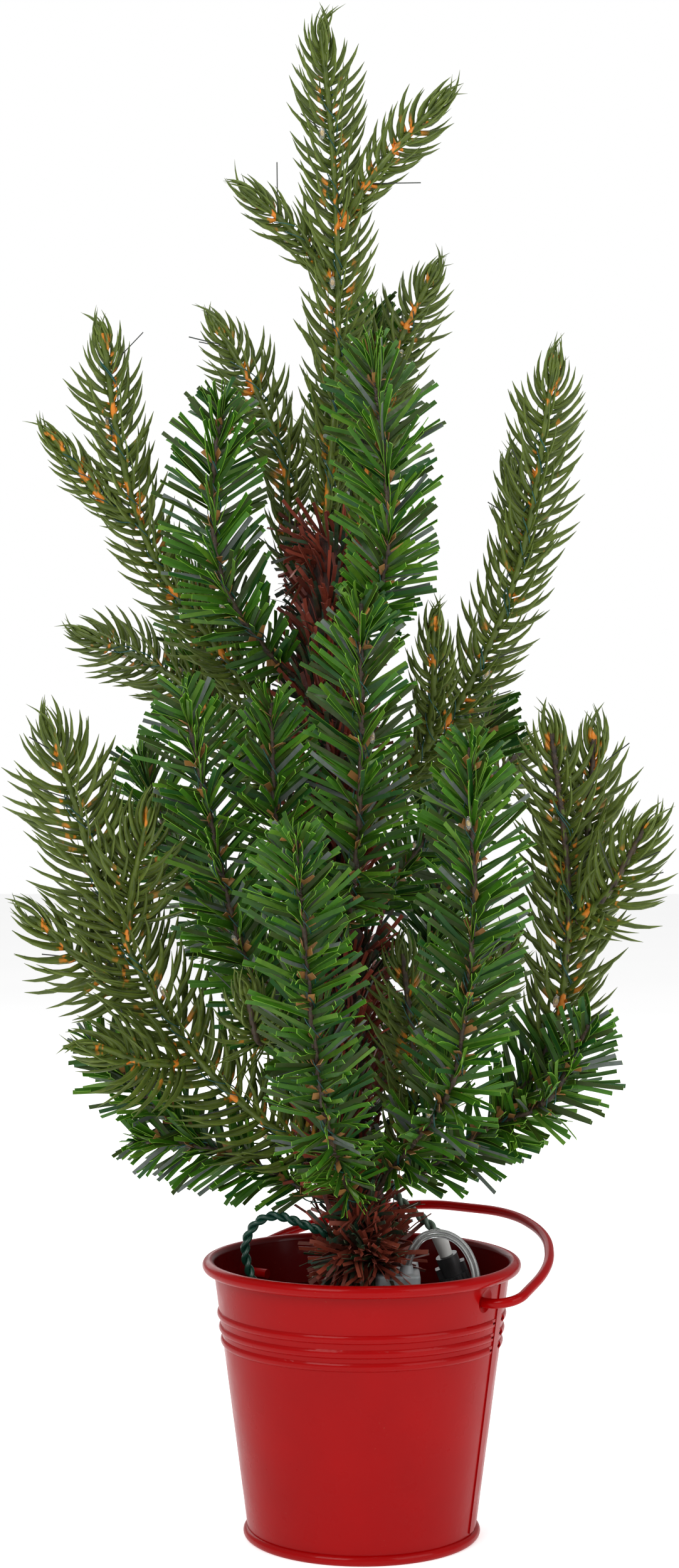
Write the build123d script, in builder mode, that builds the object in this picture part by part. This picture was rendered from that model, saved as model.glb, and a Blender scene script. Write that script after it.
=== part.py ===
"""Artificial tabletop tree in a small metal pail.

Millimetres, +Z up. The origin is the centre of the pail's base ring, on the surface it stands on.
+X is to the viewer's right and +Y away from the viewer.
"""

import os
from math import cos, radians, sin, tan

from build123d import *

os.makedirs("parts", exist_ok=True)

# ---------------------------------------------------------------- pail
PAIL_HEIGHT = 108.0
SHEET = 0.6
BASE_RADIUS = 44.3
FLARE = 0.132  # radius gained per millimetre of height
WALL_FOOT = 1.0
RIM_ROLL = 2.4
RIB_HEIGHTS = (76.5, 81.5, 87.0)
RIB_HALF_HEIGHT = 1.7
RIB_STAND = 0.9
SEAM_AZIMUTH = -21.0
SEAM_ARC = 6.0
SEAM_FLAT_ARC = 14.0
SEAM_STAND = 0.5
BEAD_RADIUS = 2.1
BEAD_FLAT = 0.25
FLOOR_HEIGHT = 2.6
FIT_GAP = 0.05

# ---------------------------------------------------------------- bail handle and its ears
EAR_HEIGHT = 96.5
EAR_AZIMUTH = -35.0
EAR_DISH_RADIUS = 7.5
EAR_DISH_DEPTH = 1.6
BAIL_WIRE = 3.8
BAIL_HOLE_PLAY = 0.1
BAIL_REST_ANGLE = 15.0  # above the horizontal
BAIL_HALF_LOOP = [(46, 0), (69.2, 0), (65.5, 35.4), (48.7, 63), (22.2, 80.1)]  # along the ears, out from them

# ---------------------------------------------------------------- weight, trunk and its wrap
WEIGHT_TOP = 43.0
WEIGHT_GAP = 0.4
POLE_RADIUS = 4.5
POLE_SOCKET_FLOOR = 8.0
TRUNK_ROUTE = [(0, 8), (0, 132), (-7, 215), (-12, 300), (-15, 384)]  # x, z
TRUNK_BEND_SHARE = 0.2
WRAP_RADIUS = 9.0
WRAP_FOOT = 107.0
WRAP_FOOT_RADIUS = 14.0
WRAP_FOOT_HEIGHT = 7.5
WRAP_GAP = 0.1

# ---------------------------------------------------------------- battery box
BOX_THICK = 17.5
BOX_WIDE = 36.0
BOX_TALL = 60.0
BOX_X = 14.0
BOX_Y = 4.0
BOX_CORNER = 2.0
BOX_WALL = 1.2
BOX_TOP_WALL = 3.0
BOX_FOOT_WALL = 5.0
CELL_RADIUS = 7.25
CELL_LONG = 50.5
CELL_GAP = 0.25
CELL_PIP = 1.0
COVER_THICK = 1.4
COVER_HALF_WIDE = 15.7
COVER_INSET = 1.0
COVER_GAP = 0.1
GRIP_SLOTS = 6
GRIP_SLOT_WIDE = 1.0
GRIP_PITCH = 3.0
GRIP_DROP = 14.0
SCREW_SHANK = 0.9
SCREW_HEAD = 1.8
SCREW_HEAD_DEEP = 0.8
SCREW_LONG = 4.0
SCREW_SLOT = 0.5
SCREW_RISE = 3.1
SWITCH_WIDE = 2.8
SWITCH_LONG = 3.6
SWITCH_TALL = 3.2
SWITCH_TRAVEL = 3.2
SWITCH_POCKET_DEEP = 1.7
SWITCH_GAP = 0.1
SWITCH_Y = 12.0
GLAND_RADIUS = 2.9
GLAND_TALL = 3.0
GLAND_SHIFT = 3.5
GLAND_INSET = 8.0

# ---------------------------------------------------------------- connector and leads
CONNECTOR_TOP = (30.2, 8.0, 116.0)
CONNECTOR_AXIS = (12.0, 4.0, -32.0)
SLEEVE_LONG = 9.5
SLEEVE_TOP_RADIUS = 3.2
SLEEVE_END_RADIUS = 2.6
SOCKET_BODY_LONG = 8.0
SOCKET_RADIUS = 4.4
SOCKET_KEY_DEEP = 3.4
SOCKET_KEY_WIDE = 4.2
SOCKET_KEY_CORNER = 0.9
THREAD_LONG = 8.0
THREAD_RADIUS = 3.9
NUT_LONG = 13.0
NUT_RADIUS = 5.6
NUT_RIBS = 14
NUT_RIB_RADIUS = 0.55
NUT_PLAY = 0.08
PLUG_LONG = 15.0
PLUG_TAIL_RADIUS = 4.2
PLUG_END_RADIUS = 2.3
PLUG_APPROACH = 10.5
FACE_GAP = 0.1

CLEAR_LEAD_WIDE = 3.4
CLEAR_LEAD_MIDDLE = [
    (20.5, -5.5, 115.5), (29.5, -5, 119), (38.5, -5, 115.5), (44, -7, 106.5), (45, -10, 96),
    (44.5, -13.5, 86), (44.5, -15.5, 76), (45.5, -12.5, 66.5), (46.8, -4, 59.5), (47.6, 6, 60.8),
]
PAIR_WIDE = 4.0
RIGHT_PAIR = [(5.9, 6.3, 150), (9.5, 9.5, 141), (12.5, 11.5, 132), (18, 11, 125.5), (25, 9.4, 121.5)]
LEFT_PAIR = [
    (-13.4, -5, 118), (-23, -6.5, 122), (-34, -5, 126), (-42.5, -4.5, 122), (-46.3, -5, 112.5),
    (-43.5, -6, 102), (-38, -8, 91), (-31.5, -10, 80), (-24, -10.5, 70), (-14.5, -8, 63),
    (-5.2, -2.6, 60),
]
CORD_BEND_SHARE = 0.45

# ---------------------------------------------------------------- branches
STEM_RADIUS = 1.2
ROOT_GAP = 1.4
NEEDLE_CORE_RADIUS = 5.0
NEEDLE_START = 15.0
SHOOT_START = 4.0
SHOOT_NEEDLE_START = 13.0
STEM_BEND_SHARE = 0.45

# Each branch lies in an upright plane through the trunk at its azimuth. A route's points are
# (reach from the trunk's axis, height, sideways); "main" starts at the trunk, and each shoot at
# the point it gives first.
BRANCHES = {
    "leader": dict(azimuth=0, root=384, main=[
        (4, 432, 0), (6, 470, 0), (5.5, 512, 0), (3, 552, 0), (-1, 589, 0)],
        shoots=[[(5.5, 508, 0), (20, 533, -4), (47, 560, -9)],
                [(6, 484, 0), (-9, 509, 3), (-30, 527, 6)]]),
    "top_right": dict(azimuth=34, root=370, main=[(19, 416, 0), (33, 466, 0), (53, 500, 0)], shoots=[]),
    "top_left": dict(azimuth=158, root=366, main=[(17, 386, 0), (15, 412, 0), (24, 440, 0), (47, 477, 0)],
                     shoots=[]),
    "top_front": dict(azimuth=302, root=342, main=[
        (28, 352, 0), (44, 375, 0), (43, 415, 0), (31, 459, 0)], shoots=[]),
    "top_back": dict(azimuth=70, root=352, main=[(22, 385, 0), (36, 430, -3), (43, 485, -5)],
                     shoots=[[(30, 411, 0), (46, 430, 14), (64, 450, 22)]]),
    "upper_left": dict(azimuth=206, root=332, main=[
        (28, 346, 0), (46, 369, 0), (50, 399, 0), (46, 441, 0)], shoots=[]),
    "mid_left": dict(azimuth=184, root=292, main=[
        (34, 333, 0), (69, 377, 0), (82, 415, 0), (90, 469, 0)],
        shoots=[[(74, 391, 0), (88, 402, -3), (110, 430, -6)]]),
    "mid_left_back": dict(azimuth=156, root=262, main=[(40, 304, 0), (70, 338, 0), (114, 355, 0)],
                          shoots=[[(56, 322, 0), (66, 345, -12), (70, 378, -18)]]),
    "mid_right": dict(azimuth=352, root=268, main=[
        (20, 290, 0), (47, 320, 0), (66, 359, 0), (76, 392, 0), (85.5, 457, 0)],
        shoots=[[(69, 372, 0), (72, 394, 8), (68, 419, 15)],
                [(36, 307, 0), (40, 326, -14), (41, 355, -21)]]),
    "mid_right_back": dict(azimuth=28, root=236, main=[(30, 262, 0), (56, 292, 0), (70, 326, 0)],
                           shoots=[[(48, 282, 0), (72, 292, 12), (96, 308, 18)]]),
    "mid_front": dict(azimuth=272, root=232, main=[
        (26, 244, 2), (42, 270, 5), (48, 310, 6), (45, 361, 5.5)], shoots=[]),
    "mid_front_left": dict(azimuth=236, root=226, main=[(30, 244, 0), (46, 278, 0), (48, 324, 0)],
                           shoots=[]),
    "low_front_left": dict(azimuth=216, root=170, main=[
        (32, 190, 0), (56, 236, 0), (67, 281, 0), (79, 327, 0)],
        shoots=[[(38, 200, 0), (55, 194, 14), (64, 217, 20)]]),
    "low_left": dict(azimuth=196, root=146, main=[
        (36, 160, 0), (58, 179, 0), (83, 212, 0), (102, 252, 0), (121, 313, 0)],
        shoots=[[(92, 230, 0), (93, 252, 9), (87, 281, 14)],
                [(84, 213, 0), (104, 221, -6), (125, 241, -10)],
                [(64, 187, 0), (84, 186, 8), (107, 195, 13)]]),
    "low_left_under": dict(azimuth=180, root=128, main=[(40, 144, 0), (64, 152, 0), (88, 154, 0)],
                           shoots=[[(56, 150, 0), (82, 166, -6), (106, 191, -8)]]),
    "low_front": dict(azimuth=256, root=130, main=[
        (30, 144, 0), (58, 168, 0), (78, 206, 0), (92, 250, 0), (100, 274, 0)], shoots=[]),
    "low_front_right": dict(azimuth=308, root=136, main=[
        (33, 157, 0), (55, 178, 1), (69, 223, -3), (73, 252, -4), (70, 307, -4.5)],
        shoots=[[(22, 147, 0), (22, 163, 9), (25, 186, 7), (21, 228, 4)]]),
    "low_right": dict(azimuth=348, root=134, main=[
        (36, 149, 0), (58, 166, 0), (78, 198, 0), (83, 250, 0), (75, 313, 0)],
        shoots=[[(81, 224, 0), (87, 256, 8), (90, 311, 12)],
                [(82, 238, 0), (97, 250, -6), (112, 277, -10)],
                [(50, 160, 0), (76, 171, -8), (91, 202, -12)]]),
    "back_left": dict(azimuth=150, root=190, main=[(36, 214, 0), (66, 244, 0), (86, 274, 0), (100, 305, 0)],
                      shoots=[[(46, 224, 0), (66, 228, -14), (84, 246, -22)]]),
    "back_low": dict(azimuth=104, root=138, main=[(36, 158, 0), (68, 186, 0), (84, 236, 0)],
                     shoots=[[(54, 174, 0), (78, 172, -12), (102, 190, -18)],
                             [(58, 178, 0), (80, 196, 14), (98, 228, 20)]]),
    "back_right": dict(azimuth=62, root=160, main=[(34, 184, 0), (62, 214, 0), (80, 266, 0)],
                       shoots=[[(48, 198, 0), (74, 200, -14), (98, 226, -22)]]),
}


def wall_radius(height):
    """Outer radius of the pail's sheet at a height."""
    return BASE_RADIUS + FLARE * height


def around(azimuth, radius, height):
    """A point at an azimuth, a radius and a height."""
    return (radius * cos(radians(azimuth)), radius * sin(radians(azimuth)), height)


def bend_radii(points, share):
    """For each corner, the radius that uses the given share of its shorter run."""
    radii = []
    for before, corner, after in zip(points, points[1:], points[2:]):
        run_in = Vector(corner) - Vector(before)
        run_out = Vector(after) - Vector(corner)
        half_turn = radians(run_in.get_angle(run_out)) / 2
        radii.append(share * min(run_in.length, run_out.length) / tan(half_turn))
    return radii


def tube(points, radius, radii, bore=0.0):
    """A round tube, or a solid rod where bore is 0, along straight runs joined by arcs."""
    with BuildPart() as made:
        with BuildLine() as route:
            if len(points) > 2:
                FilletPolyline(*points, radius=radii)
            else:
                Line(*points)
        with BuildSketch(Plane(origin=points[0], z_dir=Vector(points[1]) - Vector(points[0]))):
            Circle(radius)
            if bore:
                Circle(bore, mode=Mode.SUBTRACT)
        sweep(path=route.line)
    return made.part


def moved_on(start, towards, distance):
    """The point a distance from start on the way towards another point."""
    run = Vector(towards) - Vector(start)
    return tuple(Vector(start) + run.normalized() * distance)


def trunk_offset(height):
    """How far the leaning trunk's axis is from the Z axis, along X."""
    for (low_x, low_z), (high_x, high_z) in zip(TRUNK_ROUTE, TRUNK_ROUTE[1:]):
        if height <= high_z:
            return low_x + (high_x - low_x) * max(0.0, height - low_z) / (high_z - low_z)
    return TRUNK_ROUTE[-1][0]


def branch_point(branch, point):
    """A point of a branch's route in the model's frame."""
    reach, height, side = point
    outward = radians(branch["azimuth"])
    return (
        trunk_offset(branch["root"]) + reach * cos(outward) - side * sin(outward),
        reach * sin(outward) + side * cos(outward),
        height,
    )


def branch_root(name, branch):
    """Where a branch's stem leaves the trunk's wrap, and the leader the trunk's top."""
    if name == "leader":
        return branch_point(branch, (0, TRUNK_ROUTE[-1][1] + ROOT_GAP, 0))
    return branch_point(branch, (WRAP_RADIUS + ROOT_GAP, branch["root"], 0))


def branch_routes(name, branch):
    """The routes of a branch's stem and of its shoots, in the model's frame."""
    routes = [[branch_root(name, branch)] + [branch_point(branch, p) for p in branch["main"]]]
    for shoot in branch["shoots"]:
        points = [branch_point(branch, p) for p in shoot]
        points[0] = moved_on(points[0], points[1], SHOOT_START)
        routes.append(points)
    return routes


def finish(part, name):
    """Labels a finished piece and writes it."""
    part.label = name
    export_step(part, f"parts/{name}.step")


# ================================================================ pail wall
def wall_face(inset):
    """One face of the sheet from its foot to the rim, with the pressed ribs."""
    low = WALL_FOOT
    for rib in RIB_HEIGHTS:
        start = (wall_radius(rib - RIB_HALF_HEIGHT) - inset, rib - RIB_HALF_HEIGHT)
        crest = (wall_radius(rib) + RIB_STAND - inset, rib)
        end = (wall_radius(rib + RIB_HALF_HEIGHT) - inset, rib + RIB_HALF_HEIGHT)
        Line((wall_radius(low) - inset, low), start)
        ThreePointArc(start, crest, end)
        low = rib + RIB_HALF_HEIGHT
    Line((wall_radius(low) - inset, low), (wall_radius(RIM_HEIGHT) - inset, RIM_HEIGHT))


RIM_HEIGHT = PAIL_HEIGHT - RIM_ROLL
RIM_RADIUS = wall_radius(RIM_HEIGHT) - SHEET + RIM_ROLL
EAR_DISH_CENTRE = wall_radius(EAR_HEIGHT) + EAR_DISH_RADIUS - EAR_DISH_DEPTH
EAR_SIDES = [Location(around(EAR_AZIMUTH + turn, EAR_DISH_CENTRE, EAR_HEIGHT)) for turn in (0, 180)]

with BuildPart() as ear_dishes:
    with Locations(*EAR_SIDES):
        Sphere(EAR_DISH_RADIUS + SHEET)
    Cone(
        wall_radius(0), wall_radius(PAIL_HEIGHT), PAIL_HEIGHT,
        align=(Align.CENTER, Align.CENTER, Align.MIN), mode=Mode.INTERSECT,
    )

with BuildPart() as pail_wall:
    with BuildSketch(Plane.XZ):
        with BuildLine():
            wall_face(0)
            wall_face(SHEET)
            for height in (WALL_FOOT, RIM_HEIGHT):
                Line((wall_radius(height) - SHEET, height), (wall_radius(height), height))
        make_face()
        with Locations((RIM_RADIUS, RIM_HEIGHT)):
            Circle(RIM_ROLL)
            Circle(RIM_ROLL - SHEET, mode=Mode.SUBTRACT)
    revolve(axis=Axis.Z)
    with BuildSketch(Plane.XZ.rotated((0, 0, SEAM_AZIMUTH - SEAM_FLAT_ARC / 2))):
        with BuildLine():
            seam_low = RIB_HEIGHTS[0] - 2 * RIB_HALF_HEIGHT
            seam_high = RIB_HEIGHTS[-1] + 2 * RIB_HALF_HEIGHT
            Polyline(
                (wall_radius(seam_low) + SEAM_STAND / 2, seam_low),
                (wall_radius(seam_high) + SEAM_STAND / 2, seam_high),
                (wall_radius(seam_high) + 2 * RIB_STAND, seam_high),
                (wall_radius(seam_low) + 2 * RIB_STAND, seam_low),
                close=True,
            )
        make_face()
    revolve(axis=Axis.Z, revolution_arc=SEAM_FLAT_ARC, mode=Mode.SUBTRACT)
    with BuildSketch(Plane.XZ.rotated((0, 0, SEAM_AZIMUTH - SEAM_ARC / 2))):
        with BuildLine():
            strip_low = 2 * BEAD_RADIUS + SEAM_STAND
            strip_high = RIM_HEIGHT - RIM_ROLL / 2
            Polyline(
                (wall_radius(strip_low) - SHEET / 2, strip_low),
                (wall_radius(strip_high) - SHEET / 2, strip_high),
                (wall_radius(strip_high) + SEAM_STAND, strip_high),
                (wall_radius(strip_low) + SEAM_STAND, strip_low),
                close=True,
            )
        make_face()
    revolve(axis=Axis.Z, revolution_arc=SEAM_ARC)
    add(ear_dishes.part)
    with Locations(*EAR_SIDES):
        Sphere(EAR_DISH_RADIUS, mode=Mode.SUBTRACT)
    with BuildSketch(Plane(origin=(0, 0, EAR_HEIGHT), z_dir=around(EAR_AZIMUTH, 1, 0))):
        Circle(BAIL_WIRE / 2 + BAIL_HOLE_PLAY)
    extrude(amount=2 * BASE_RADIUS, both=True, mode=Mode.SUBTRACT)
finish(pail_wall.part, "pail_wall")

# ================================================================ pail floor with its rolled bead
with BuildPart() as pail_floor:
    with BuildSketch(Plane.XZ):
        with Locations((wall_radius(BEAD_RADIUS) - SHEET / 2, BEAD_RADIUS - BEAD_FLAT)):
            Circle(BEAD_RADIUS)
        with Locations((BASE_RADIUS / 2 - SHEET, FLOOR_HEIGHT + SHEET / 2)):
            Rectangle(BASE_RADIUS - 2 * SHEET, SHEET)
        with Locations((BASE_RADIUS / 2, -PAIL_HEIGHT / 2)):
            Rectangle(2 * PAIL_HEIGHT, PAIL_HEIGHT, mode=Mode.SUBTRACT)
        with Locations((-PAIL_HEIGHT / 2, 0)):
            Rectangle(PAIL_HEIGHT, PAIL_HEIGHT, mode=Mode.SUBTRACT)
        with BuildLine():
            Polyline(
                (wall_radius(WALL_FOOT) - SHEET - FIT_GAP, WALL_FOOT - FIT_GAP),
                (wall_radius(WALL_FOOT) + FIT_GAP, WALL_FOOT - FIT_GAP),
                (wall_radius(3 * BEAD_RADIUS) + FIT_GAP, 3 * BEAD_RADIUS),
                (wall_radius(3 * BEAD_RADIUS) - SHEET - FIT_GAP, 3 * BEAD_RADIUS),
                close=True,
            )
        make_face(mode=Mode.SUBTRACT)
    revolve(axis=Axis.Z)
finish(pail_floor.part, "pail_floor")

# ================================================================ bail handle
ear_line = Vector(*around(EAR_AZIMUTH, 1, 0))
level_out = Vector(*around(EAR_AZIMUTH + 90, 1, 0))
loop_out = level_out * cos(radians(BAIL_REST_ANGLE)) + Vector(0, 0, sin(radians(BAIL_REST_ANGLE)))
loop_points = BAIL_HALF_LOOP + [(-along, out) for along, out in reversed(BAIL_HALF_LOOP)]
bail_points = [
    tuple(Vector(0, 0, EAR_HEIGHT) + ear_line * along + loop_out * out) for along, out in loop_points
]
bail_radii = bend_radii(bail_points, STEM_BEND_SHARE)
finish(tube(bail_points, BAIL_WIRE / 2, bail_radii), "bail_handle")

# ================================================================ weight that holds the trunk
weight_foot = FLOOR_HEIGHT + SHEET
with BuildPart() as weight_block:
    with BuildSketch(Plane.XZ):
        with BuildLine():
            Polyline(
                (0, weight_foot),
                (wall_radius(weight_foot) - SHEET - BEAD_RADIUS - WEIGHT_GAP, weight_foot),
                (wall_radius(3 * BEAD_RADIUS) - SHEET - WEIGHT_GAP, 3 * BEAD_RADIUS),
                (wall_radius(WEIGHT_TOP) - SHEET - WEIGHT_GAP, WEIGHT_TOP),
                (0, WEIGHT_TOP),
                close=True,
            )
        make_face()
    revolve(axis=Axis.Z)
    with Locations((0, 0, WEIGHT_TOP)):
        Hole(POLE_RADIUS + FIT_GAP, WEIGHT_TOP - POLE_SOCKET_FLOOR)
finish(weight_block.part, "weight_block")

# ================================================================ trunk pole and its tinsel wrap
trunk_points = [(x, 0, z) for x, z in TRUNK_ROUTE]
trunk_radii = bend_radii(trunk_points, TRUNK_BEND_SHARE)
finish(tube(trunk_points, POLE_RADIUS, trunk_radii), "trunk_pole")

wrap_points = [(0, 0, WRAP_FOOT)] + trunk_points[1:]
wrap_sleeve = tube(wrap_points, WRAP_RADIUS, trunk_radii, POLE_RADIUS + WRAP_GAP)
with BuildPart() as trunk_wrap:
    add(wrap_sleeve)
    with BuildSketch(Plane.XZ):
        with BuildLine():
            Polyline(
                (POLE_RADIUS + WRAP_GAP, WRAP_FOOT),
                (WRAP_FOOT_RADIUS, WRAP_FOOT),
                (WRAP_FOOT_RADIUS, WRAP_FOOT + WRAP_FOOT_HEIGHT / 2),
                (WRAP_RADIUS - WRAP_GAP, WRAP_FOOT + WRAP_FOOT_HEIGHT),
                (POLE_RADIUS + WRAP_GAP, WRAP_FOOT + WRAP_FOOT_HEIGHT),
                close=True,
            )
        make_face()
    revolve(axis=Axis.Z)
finish(trunk_wrap.part, "trunk_wrap")

# ================================================================ battery box
box_face = BOX_X + BOX_THICK / 2
box_top = WEIGHT_TOP + BOX_TALL
cell_floor = WEIGHT_TOP + BOX_FOOT_WALL
cavity_tall = BOX_TALL - BOX_FOOT_WALL - BOX_TOP_WALL
cavity_deep = BOX_THICK - BOX_WALL
cavity_wide = 4 * (CELL_RADIUS + CELL_GAP)
screw_height = WEIGHT_TOP + SCREW_RISE
cover_low = WEIGHT_TOP + COVER_INSET
cover_high = box_top - BOX_TOP_WALL + COVER_INSET
LOW_CORNER = (Align.CENTER, Align.CENTER, Align.MIN)
lead_exit = (BOX_X + GLAND_SHIFT, BOX_Y - BOX_WIDE / 2 + GLAND_INSET, box_top + GLAND_TALL)

with BuildPart() as battery_case:
    with Locations((BOX_X, BOX_Y, WEIGHT_TOP)):
        Box(BOX_THICK, BOX_WIDE, BOX_TALL, align=LOW_CORNER)
    fillet(battery_case.edges().filter_by(Axis.Z), BOX_CORNER)
    fillet(battery_case.faces().sort_by(Axis.Z)[-1].edges(), BOX_CORNER / 2)
    with Locations((box_face - cavity_deep / 2, BOX_Y, cell_floor)):
        Box(cavity_deep, cavity_wide, cavity_tall, align=LOW_CORNER, mode=Mode.SUBTRACT)
    with Locations((box_face - COVER_THICK / 2, BOX_Y, cover_low - COVER_GAP)):
        Box(
            COVER_THICK, 2 * (COVER_HALF_WIDE + COVER_GAP), cover_high - cover_low + 2 * COVER_GAP,
            align=LOW_CORNER, mode=Mode.SUBTRACT,
        )
    with Locations((BOX_X, SWITCH_Y + SWITCH_TRAVEL / 2, box_top - SWITCH_POCKET_DEEP)):
        Box(
            SWITCH_WIDE + 2 * SWITCH_GAP, SWITCH_LONG + SWITCH_TRAVEL + 2 * SWITCH_GAP,
            2 * SWITCH_POCKET_DEEP, align=LOW_CORNER, mode=Mode.SUBTRACT,
        )
    with Locations((lead_exit[0], lead_exit[1], box_top)):
        Cone(GLAND_RADIUS, GLAND_RADIUS - BOX_WALL / 2, GLAND_TALL, align=LOW_CORNER)
    with Locations(Location((box_face - COVER_THICK, BOX_Y, screw_height), (0, 90, 0))):
        Cylinder(SCREW_SHANK + FIT_GAP, 2 * SCREW_LONG, mode=Mode.SUBTRACT)
finish(battery_case.part, "battery_case")

with BuildPart() as battery_cover:
    with Locations((box_face - COVER_THICK / 2, BOX_Y, cover_low)):
        Box(COVER_THICK, 2 * COVER_HALF_WIDE, cover_high - cover_low, align=LOW_CORNER)
    with Locations(Location((box_face, BOX_Y, screw_height), (0, 90, 0))):
        CounterBoreHole(SCREW_SHANK + FIT_GAP, SCREW_HEAD + FIT_GAP, SCREW_HEAD_DEEP, 2 * COVER_THICK)
    with BuildSketch(Plane.YZ.offset(box_face)):
        with GridLocations(0, GRIP_PITCH, 1, GRIP_SLOTS):
            with Locations((BOX_Y, cover_high - GRIP_DROP)):
                Rectangle(COVER_HALF_WIDE, GRIP_SLOT_WIDE)
    extrude(amount=-COVER_THICK / 3, mode=Mode.SUBTRACT)
finish(battery_cover.part, "battery_cover")

with BuildPart() as cover_screw:
    with BuildSketch(Plane.YZ.offset(box_face - SCREW_HEAD_DEEP)):
        with Locations((BOX_Y, screw_height)):
            Circle(SCREW_HEAD)
    extrude(amount=SCREW_HEAD_DEEP)
    with BuildSketch(Plane.YZ.offset(box_face - SCREW_HEAD_DEEP)):
        with Locations((BOX_Y, screw_height)):
            Circle(SCREW_SHANK)
    extrude(amount=-SCREW_LONG)
    with BuildSketch(Plane.YZ.offset(box_face)):
        with Locations((BOX_Y, screw_height)):
            Rectangle(2 * (SCREW_HEAD - SCREW_SLOT), SCREW_SLOT)
            Rectangle(SCREW_SLOT, 2 * (SCREW_HEAD - SCREW_SLOT))
    extrude(amount=-SCREW_HEAD_DEEP / 2, mode=Mode.SUBTRACT)
finish(cover_screw.part, "cover_screw")

with BuildPart() as battery_cells:
    with BuildSketch(Plane.XY.offset(cell_floor + CELL_GAP)):
        with Locations((box_face - COVER_THICK - CELL_RADIUS - CELL_GAP, BOX_Y)):
            with GridLocations(0, 2 * (CELL_RADIUS + CELL_GAP), 1, 2):
                Circle(CELL_RADIUS)
    extrude(amount=CELL_LONG - CELL_PIP)
    with BuildSketch(Plane.XY.offset(cell_floor + CELL_GAP + CELL_LONG - CELL_PIP)):
        with Locations((box_face - COVER_THICK - CELL_RADIUS - CELL_GAP, BOX_Y)):
            with GridLocations(0, 2 * (CELL_RADIUS + CELL_GAP), 1, 2):
                Circle(CELL_RADIUS / 3)
    extrude(amount=CELL_PIP)
finish(battery_cells.part, "battery_cells")

with BuildPart() as switch_slider:
    with Locations((BOX_X, SWITCH_Y, box_top - SWITCH_POCKET_DEEP + SWITCH_GAP)):
        Box(SWITCH_WIDE, SWITCH_LONG, SWITCH_TALL, align=LOW_CORNER)
    fillet(switch_slider.faces().sort_by(Axis.Z)[-1].edges(), SWITCH_GAP * 3)
finish(switch_slider.part, "switch_slider")

# ================================================================ connector in the lead
connector_line = Vector(*CONNECTOR_AXIS).normalized()


def connector_plane(distance):
    """A plane square to the connector, a distance down from its top."""
    return Plane(origin=Vector(*CONNECTOR_TOP) + connector_line * distance, z_dir=connector_line)


socket_top = SLEEVE_LONG + FIT_GAP
thread_top = socket_top + SOCKET_BODY_LONG
thread_end = thread_top + THREAD_LONG
nut_top = thread_top + FACE_GAP
nut_end = nut_top + NUT_LONG
plug_top = thread_end + FACE_GAP
plug_tail = nut_end + FACE_GAP
plug_end = plug_top + PLUG_LONG

with BuildPart() as lead_sleeve:
    with BuildSketch(connector_plane(0)):
        Circle(SLEEVE_TOP_RADIUS)
    with BuildSketch(connector_plane(SLEEVE_LONG)):
        Circle(SLEEVE_END_RADIUS)
    loft()
finish(lead_sleeve.part, "lead_sleeve")

with BuildPart() as connector_socket:
    with BuildSketch(connector_plane(socket_top)):
        Circle(SOCKET_RADIUS)
    extrude(amount=SOCKET_BODY_LONG)
    with BuildSketch(connector_plane(thread_top)):
        Circle(THREAD_RADIUS)
    extrude(amount=THREAD_LONG)
    with BuildSketch(connector_plane(socket_top + SOCKET_BODY_LONG / 2)):
        with PolarLocations(SOCKET_RADIUS, 2):
            RectangleRounded(SOCKET_KEY_DEEP, SOCKET_KEY_WIDE, SOCKET_KEY_CORNER)
    extrude(amount=SOCKET_BODY_LONG / 2)
finish(connector_socket.part, "connector_socket")

with BuildPart() as coupling_nut:
    with BuildSketch(connector_plane(nut_top)):
        Circle(NUT_RADIUS)
        with PolarLocations(NUT_RADIUS, NUT_RIBS):
            Circle(NUT_RIB_RADIUS)
        Circle(THREAD_RADIUS + NUT_PLAY, mode=Mode.SUBTRACT)
    extrude(amount=NUT_LONG)
finish(coupling_nut.part, "coupling_nut")

with BuildPart() as connector_plug:
    with BuildSketch(connector_plane(plug_top)):
        Circle(THREAD_RADIUS)
    extrude(amount=nut_end - plug_top + FACE_GAP)
    with BuildSketch(connector_plane(plug_tail)):
        Circle(PLUG_TAIL_RADIUS)
    with BuildSketch(connector_plane(plug_end)):
        Circle(PLUG_END_RADIUS)
    loft()
finish(connector_plug.part, "connector_plug")

# ================================================================ leads
plug_tip = tuple(Vector(*CONNECTOR_TOP) + connector_line * plug_end)
before_plug = tuple(Vector(*CONNECTOR_TOP) + connector_line * (plug_end + PLUG_APPROACH))
clear_route = [lead_exit] + CLEAR_LEAD_MIDDLE + [before_plug, plug_tip]
leads = {
    "clear_lead": (clear_route, CLEAR_LEAD_WIDE),
    "right_pair": (RIGHT_PAIR + [CONNECTOR_TOP], PAIR_WIDE),
    "left_pair": (LEFT_PAIR, PAIR_WIDE),
}
for name, (route, wide) in leads.items():
    lead_radii = bend_radii(route, CORD_BEND_SHARE)
    lead = tube(route, wide / 2, lead_radii)
    print(name, "bend radii", [round(r, 1) for r in lead_radii])
    finish(lead, name)

# ================================================================ branches
for name, branch in BRANCHES.items():
    stems = []
    needles = []
    for number, route in enumerate(branch_routes(name, branch)):
        bare = NEEDLE_START if number == 0 else SHOOT_NEEDLE_START
        clothed = [moved_on(route[0], route[1], bare)] + route[1:]
        stems.append(tube(route, STEM_RADIUS, bend_radii(route, STEM_BEND_SHARE)))
        needles.append(tube(clothed, NEEDLE_CORE_RADIUS, bend_radii(clothed, STEM_BEND_SHARE)))
    finish(Compound(children=stems), f"{name}_stem")
    with BuildPart() as clothing:
        add(needles)
    finish(clothing.part, f"{name}_needles")
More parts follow.
